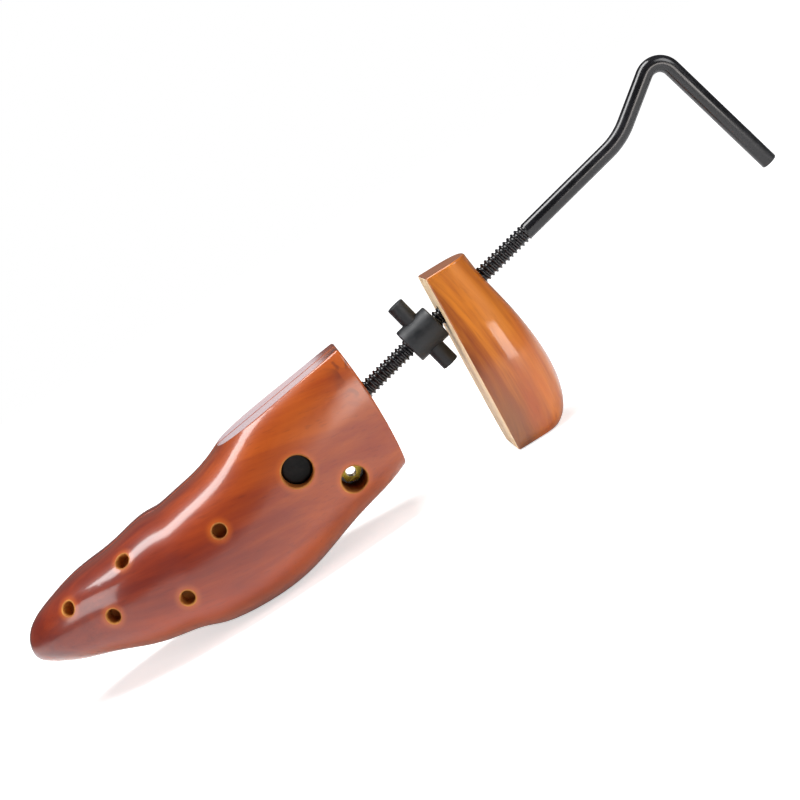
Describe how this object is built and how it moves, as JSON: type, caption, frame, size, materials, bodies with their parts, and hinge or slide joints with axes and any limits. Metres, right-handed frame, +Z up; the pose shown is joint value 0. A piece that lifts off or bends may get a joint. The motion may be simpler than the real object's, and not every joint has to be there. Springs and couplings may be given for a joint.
{
  "type": "shoe tree",
  "caption": "Two-way wooden shoe tree: a split forepart spread by a cranked screw, and a heel block moved by a pegged nut.",
  "frame": {"origin": "middle of the heel block's flat base, the face it stands on", "axes": "+X from the toe towards the crank, along the tree; +Y across the shoe; +Z up"},
  "size_m": [0.4621, 0.092, 0.1355],
  "materials": {
    "forepart_wood": "high-gloss reddish-brown varnish",
    "heel_wood": "high-gloss amber varnish",
    "black_steel": "gloss black enamel",
    "nut_steel": "satin black enamel",
    "dark_steel": "black oxide",
    "bright_steel": "ground steel",
    "spring_steel": "drawn spring wire",
    "brass": "turned brass"
  },
  "bodies": {
    "centre_frame": {"spreader_frame": "bright_steel", "sight_nut": "brass", "guide_pins": "bright_steel", "thrust_washers": "bright_steel", "return_spring_rear": "spring_steel", "return_spring_front": "spring_steel"},
    "crank_screw": {"crank_rod": "black_steel", "thrust_collar": "bright_steel", "collar_pin": "bright_steel"},
    "carriage": {"roller_carriage": "bright_steel", "roller_axles": "bright_steel", "axle_clips": "bright_steel"},
    "rollers_left": {"rollers_left": "brass"},
    "rollers_right": {"rollers_right": "brass"},
    "half_left": {"forepart_half_left": "forepart_wood", "ramp_left": "bright_steel", "ramp_anchor_left": "dark_steel", "ramp_screws_left": "bright_steel", "guide_bushes_left": "brass", "spring_pins_left": "bright_steel"},
    "half_right": {"forepart_half_right": "forepart_wood", "ramp_right": "bright_steel", "ramp_anchor_right": "dark_steel", "ramp_screws_right": "bright_steel", "guide_bushes_right": "brass", "spring_pins_right": "bright_steel"},
    "heel": {"heel_block": "heel_wood"},
    "nut": {"length_nut": "nut_steel", "nut_pegs": "nut_steel"}
  },
  "joints": [
    {"name": "carriage_slide", "type": "slide", "parent": "centre_frame", "child": "carriage", "axis": [-0.9736, 0, -0.2284], "range_m": [0, 0.0297]},
    {"name": "crank_turn", "type": "hinge", "parent": "centre_frame", "child": "crank_screw", "pos_m": [-0.0635, 0, 0.0654], "axis": [-0.9736, 0, -0.2284], "range_deg": [0, 3960.6]},
    {"name": "rollers_left_spin", "type": "hinge", "parent": "carriage", "child": "rollers_left", "pos_m": [-0.11861, -0.0095, 0.05248], "axis": [-0.2284, 0, 0.9736], "range_deg": [0, 306.4]},
    {"name": "rollers_right_spin", "type": "hinge", "parent": "carriage", "child": "rollers_right", "pos_m": [-0.11861, 0.0095, 0.05248], "axis": [0.2284, 0, -0.9736], "range_deg": [0, 306.4]},
    {"name": "half_left_spread", "type": "slide", "parent": "centre_frame", "child": "half_left", "axis": [0, -1, 0], "range_m": [0, 0.012], "deforming": ["return_spring_rear", "return_spring_front"]},
    {"name": "half_right_spread", "type": "slide", "parent": "centre_frame", "child": "half_right", "axis": [0, 1, 0], "range_m": [0, 0.012], "deforming": ["return_spring_rear", "return_spring_front"]},
    {"name": "heel_slide", "type": "slide", "parent": "centre_frame", "child": "heel", "axis": [0.9736, 0, 0.2284], "range_m": [-0.02565, 0.0324]},
    {"name": "length_nut_turn", "type": "hinge", "parent": "heel", "child": "nut", "pos_m": [-0.02368, 0, 0.07474], "axis": [0.9736, 0, 0.2284], "range_deg": [-3420.5, 4320.5]}
  ],
  "couplings": [
    {"joint": "crank_turn", "follows": "carriage_slide", "rad_per_m": 2327.1},
    {"joint": "half_left_spread", "follows": "carriage_slide", "ratio": 0.40403},
    {"joint": "half_right_spread", "follows": "carriage_slide", "ratio": 0.40403},
    {"joint": "rollers_left_spin", "follows": "carriage_slide", "rad_per_m": 179.76},
    {"joint": "rollers_right_spin", "follows": "carriage_slide", "rad_per_m": 179.76},
    {"joint": "length_nut_turn", "follows": "heel_slide", "rad_per_m": 2327.1}
  ]
}
